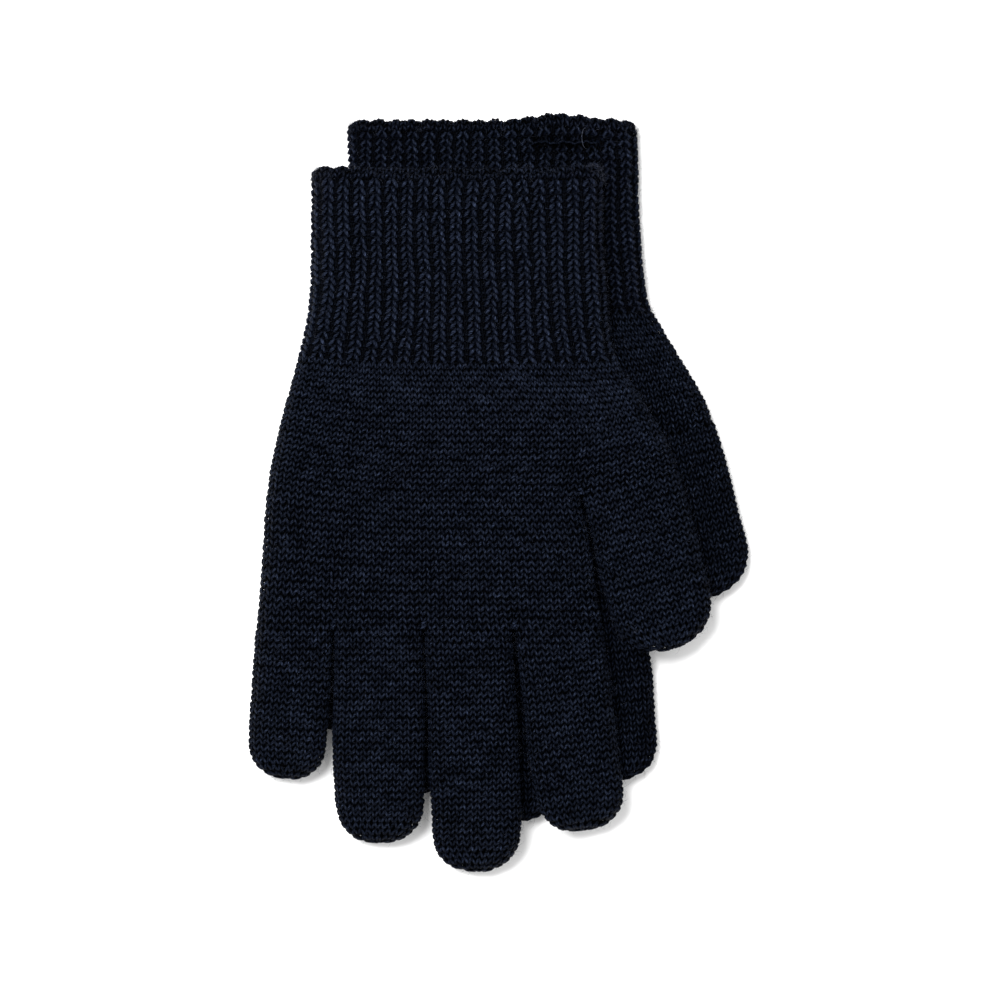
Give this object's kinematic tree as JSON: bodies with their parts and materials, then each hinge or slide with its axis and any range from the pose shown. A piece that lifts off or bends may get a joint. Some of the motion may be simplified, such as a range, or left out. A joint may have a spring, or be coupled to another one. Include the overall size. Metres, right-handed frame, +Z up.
{
  "type": "pair of knitted gloves",
  "caption": "Pair of plain knitted wool gloves with separate fingers and ribbed cuffs, one glove lying on the other.",
  "frame": {"origin": "middle of the pair's footprint, on the surface it lies on", "axes": "+Z up, away from the surface; +Y towards the cuffs, so the fingertips point to -Y; +X towards the thumbs"},
  "size_m": [0.13, 0.1958, 0.0159],
  "materials": {
    "plain_knit": "matte knitted wool",
    "rib_knit": "matte ribbed wool",
    "yarn": "matte twisted wool yarn",
    "elastic_thread": "matte covered elastic"
  },
  "bodies": {
    "lower_glove": {"lower_cuff_welt": "rib_knit", "lower_cuff_rib": "rib_knit", "lower_cuff_elastic": "elastic_thread", "lower_yarn_tail": "yarn", "lower_heel": "plain_knit", "lower_palm": "plain_knit", "lower_crotch_stitches": "yarn", "lower_little_finger": "plain_knit", "lower_ring_finger": "plain_knit", "lower_middle_finger": "plain_knit"},
    "lower_index_finger": {"lower_index_finger": "plain_knit"},
    "lower_thumb": {"lower_thumb": "plain_knit"},
    "upper_hand": {"upper_heel": "plain_knit", "upper_palm": "plain_knit", "upper_crotch_stitches": "yarn"},
    "upper_cuff": {"upper_cuff_welt": "rib_knit", "upper_cuff_rib": "rib_knit", "upper_cuff_elastic": "elastic_thread"},
    "upper_little_finger": {"upper_little_finger": "plain_knit"},
    "upper_ring_finger": {"upper_ring_finger": "plain_knit"},
    "upper_middle_finger": {"upper_middle_finger": "plain_knit"},
    "upper_index_finger": {"upper_index_finger": "plain_knit"},
    "upper_thumb": {"upper_thumb": "plain_knit"}
  },
  "joints": [
    {"name": "upper_glove_lift", "type": "slide", "parent": "lower_glove", "child": "upper_hand", "axis": [0, 0, 1], "range_m": [0, 0.1]},
    {"name": "upper_cuff_turn_back", "type": "hinge", "parent": "upper_hand", "child": "upper_cuff", "pos_m": [-0.011, 0.0359, 0.0159], "axis": [1, 0, 0], "range_deg": [0, 120]},
    {"name": "upper_little_finger_fold", "type": "hinge", "parent": "upper_hand", "child": "upper_little_finger", "pos_m": [-0.0529, -0.0343, 0.0159], "axis": [-1, 0, 0], "range_deg": [0, 90]},
    {"name": "upper_ring_finger_fold", "type": "hinge", "parent": "upper_hand", "child": "upper_ring_finger", "pos_m": [-0.0306, -0.0343, 0.0159], "axis": [-1, 0, 0], "range_deg": [0, 90]},
    {"name": "upper_middle_finger_fold", "type": "hinge", "parent": "upper_hand", "child": "upper_middle_finger", "pos_m": [-0.0074, -0.0343, 0.0159], "axis": [-1, 0, 0], "range_deg": [0, 90]},
    {"name": "upper_index_finger_fold", "type": "hinge", "parent": "upper_hand", "child": "upper_index_finger", "pos_m": [0.0161, -0.0343, 0.0159], "axis": [-1, 0, 0], "range_deg": [0, 90]},
    {"name": "upper_thumb_fold", "type": "hinge", "parent": "upper_hand", "child": "upper_thumb", "pos_m": [0.03491, 0.00345, 0.0159], "axis": [-0.9703, -0.2419, 0], "range_deg": [0, 70]},
    {"name": "lower_index_finger_spread", "type": "hinge", "parent": "lower_glove", "child": "lower_index_finger", "pos_m": [0.03729, -0.0213, 0.0039], "axis": [0, 0, 1], "range_deg": [0, 10]},
    {"name": "lower_thumb_spread", "type": "hinge", "parent": "lower_glove", "child": "lower_thumb", "pos_m": [0.05713, 0.01959, 0.0039], "axis": [0, 0, 1], "range_deg": [0, 20]}
  ]
}
